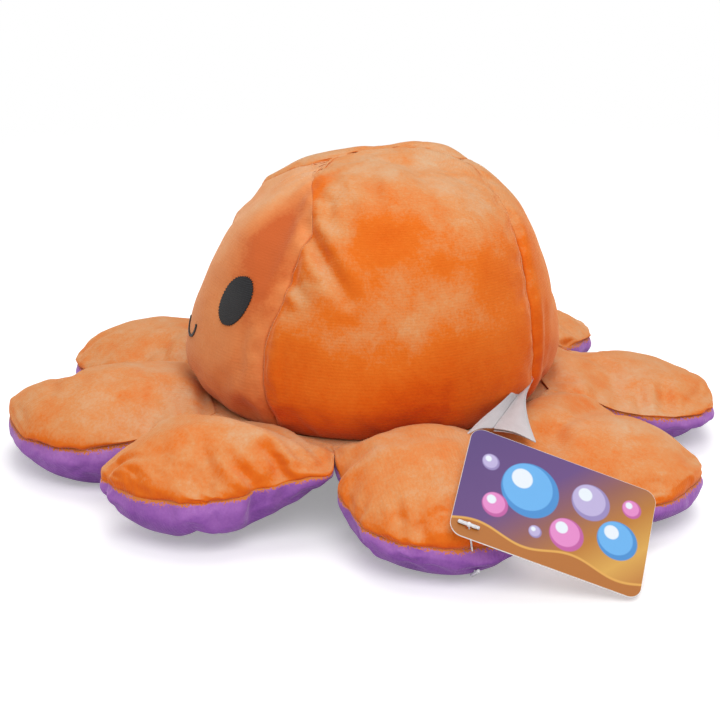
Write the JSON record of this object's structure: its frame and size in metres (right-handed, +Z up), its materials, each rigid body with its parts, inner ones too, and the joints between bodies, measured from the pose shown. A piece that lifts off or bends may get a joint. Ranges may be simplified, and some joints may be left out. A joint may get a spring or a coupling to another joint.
{
  "type": "plush octopus",
  "caption": "Reversible stuffed octopus in orange plush with a purple lining and underside, a domed head with a stitched face, splayed tentacles, a care label and a hang tag.",
  "frame": {"origin": "on the table under the middle of the toy's bounding box", "axes": "+Z up from the table, the stitched face looks along -Y, +X to the toy's left, where the hang tag lies"},
  "size_m": [0.3774, 0.354, 0.156],
  "materials": {
    "orange_plush": "short pile orange plush",
    "purple_plush": "short pile purple plush",
    "stuffing": "loose polyester fibre filling, not seen",
    "black_thread": "black satin stitch embroidery",
    "satin_ribbon": "pale satin ribbon, folded",
    "printed_card": "laminated card with a plain purple to orange print",
    "nylon": "clear white nylon"
  },
  "bodies": {
    "head": {"head_left_panel": "orange_plush", "head_back_panel": "orange_plush", "head_right_panel": "orange_plush", "head_face_panel": "orange_plush", "lining_left_panel": "purple_plush", "lining_back_panel": "purple_plush", "lining_right_panel": "purple_plush", "lining_face_panel": "purple_plush", "head_filling": "stuffing", "orange_waist_ring": "orange_plush", "purple_waist_ring": "purple_plush", "eye_left": "black_thread", "eye_right": "black_thread", "lining_eye_left": "black_thread", "lining_eye_right": "black_thread", "mouth": "black_thread", "lining_mouth": "black_thread"},
    "tentacle_1": {"tentacle_1_top": "orange_plush", "tentacle_1_bottom": "purple_plush", "tentacle_1_filling": "stuffing"},
    "tentacle_2": {"tentacle_2_top": "orange_plush", "tentacle_2_bottom": "purple_plush", "tentacle_2_filling": "stuffing"},
    "tentacle_3": {"tentacle_3_top": "orange_plush", "tentacle_3_bottom": "purple_plush", "tentacle_3_filling": "stuffing"},
    "tentacle_4": {"tentacle_4_top": "orange_plush", "tentacle_4_bottom": "purple_plush", "tentacle_4_filling": "stuffing", "tag_pin": "nylon"},
    "tentacle_5": {"tentacle_5_top": "orange_plush", "tentacle_5_bottom": "purple_plush", "tentacle_5_filling": "stuffing"},
    "tentacle_6": {"tentacle_6_top": "orange_plush", "tentacle_6_bottom": "purple_plush", "tentacle_6_filling": "stuffing"},
    "tentacle_7": {"tentacle_7_top": "orange_plush", "tentacle_7_bottom": "purple_plush", "tentacle_7_filling": "stuffing"},
    "tentacle_8": {"tentacle_8_top": "orange_plush", "tentacle_8_bottom": "purple_plush", "tentacle_8_filling": "stuffing"},
    "hang_tag": {"hang_tag": "printed_card"},
    "care_label": {"care_label": "satin_ribbon"}
  },
  "joints": [
    {"name": "tentacle_1_fold", "type": "hinge", "parent": "head", "child": "tentacle_1", "pos_m": [-0.07378, -0.05016, 0.036], "axis": [-0.6157, 0.788, 0], "range_deg": [-18, 14], "stiffness_Nm_per_rad": 0.3},
    {"name": "tentacle_2_fold", "type": "hinge", "parent": "head", "child": "tentacle_2", "pos_m": [-0.01849, -0.08144, 0.036], "axis": [-0.9925, 0.1219, 0], "range_deg": [-18, 14], "stiffness_Nm_per_rad": 0.3},
    {"name": "tentacle_3_fold", "type": "hinge", "parent": "head", "child": "tentacle_3", "pos_m": [0.04272, -0.06446, 0.036], "axis": [-0.788, -0.6157, 0], "range_deg": [-18, 14], "stiffness_Nm_per_rad": 0.3},
    {"name": "tentacle_4_fold", "type": "hinge", "parent": "head", "child": "tentacle_4", "pos_m": [0.07401, -0.00917, 0.036], "axis": [-0.1219, -0.9925, 0], "range_deg": [-18, 14], "stiffness_Nm_per_rad": 0.3},
    {"name": "tentacle_5_fold", "type": "hinge", "parent": "head", "child": "tentacle_5", "pos_m": [0.05703, 0.05204, 0.036], "axis": [0.6157, -0.788, 0], "range_deg": [-18, 14], "stiffness_Nm_per_rad": 0.3},
    {"name": "tentacle_6_fold", "type": "hinge", "parent": "head", "child": "tentacle_6", "pos_m": [0.00174, 0.08332, 0.036], "axis": [0.9925, -0.1219, 0], "range_deg": [-18, 14], "stiffness_Nm_per_rad": 0.3},
    {"name": "tentacle_7_fold", "type": "hinge", "parent": "head", "child": "tentacle_7", "pos_m": [-0.05948, 0.06635, 0.036], "axis": [0.788, 0.6157, 0], "range_deg": [-18, 14], "stiffness_Nm_per_rad": 0.3},
    {"name": "tentacle_8_fold", "type": "hinge", "parent": "head", "child": "tentacle_8", "pos_m": [-0.09076, 0.01106, 0.036], "axis": [0.1219, 0.9925, 0], "range_deg": [-18, 14], "stiffness_Nm_per_rad": 0.3},
    {"name": "hang_tag_turn", "type": "hinge", "parent": "tentacle_4", "child": "hang_tag", "pos_m": [0.16077, -0.01053, 0.0337], "axis": [0.6417, 0.0884, 0.7618], "range_deg": [-30, 5]},
    {"name": "care_label_flap", "type": "hinge", "parent": "head", "child": "care_label", "pos_m": [0.05733, 0.06235, 0.05399], "axis": [0, 0, 1], "range_deg": [-2, 15], "stiffness_Nm_per_rad": 0.002}
  ]
}
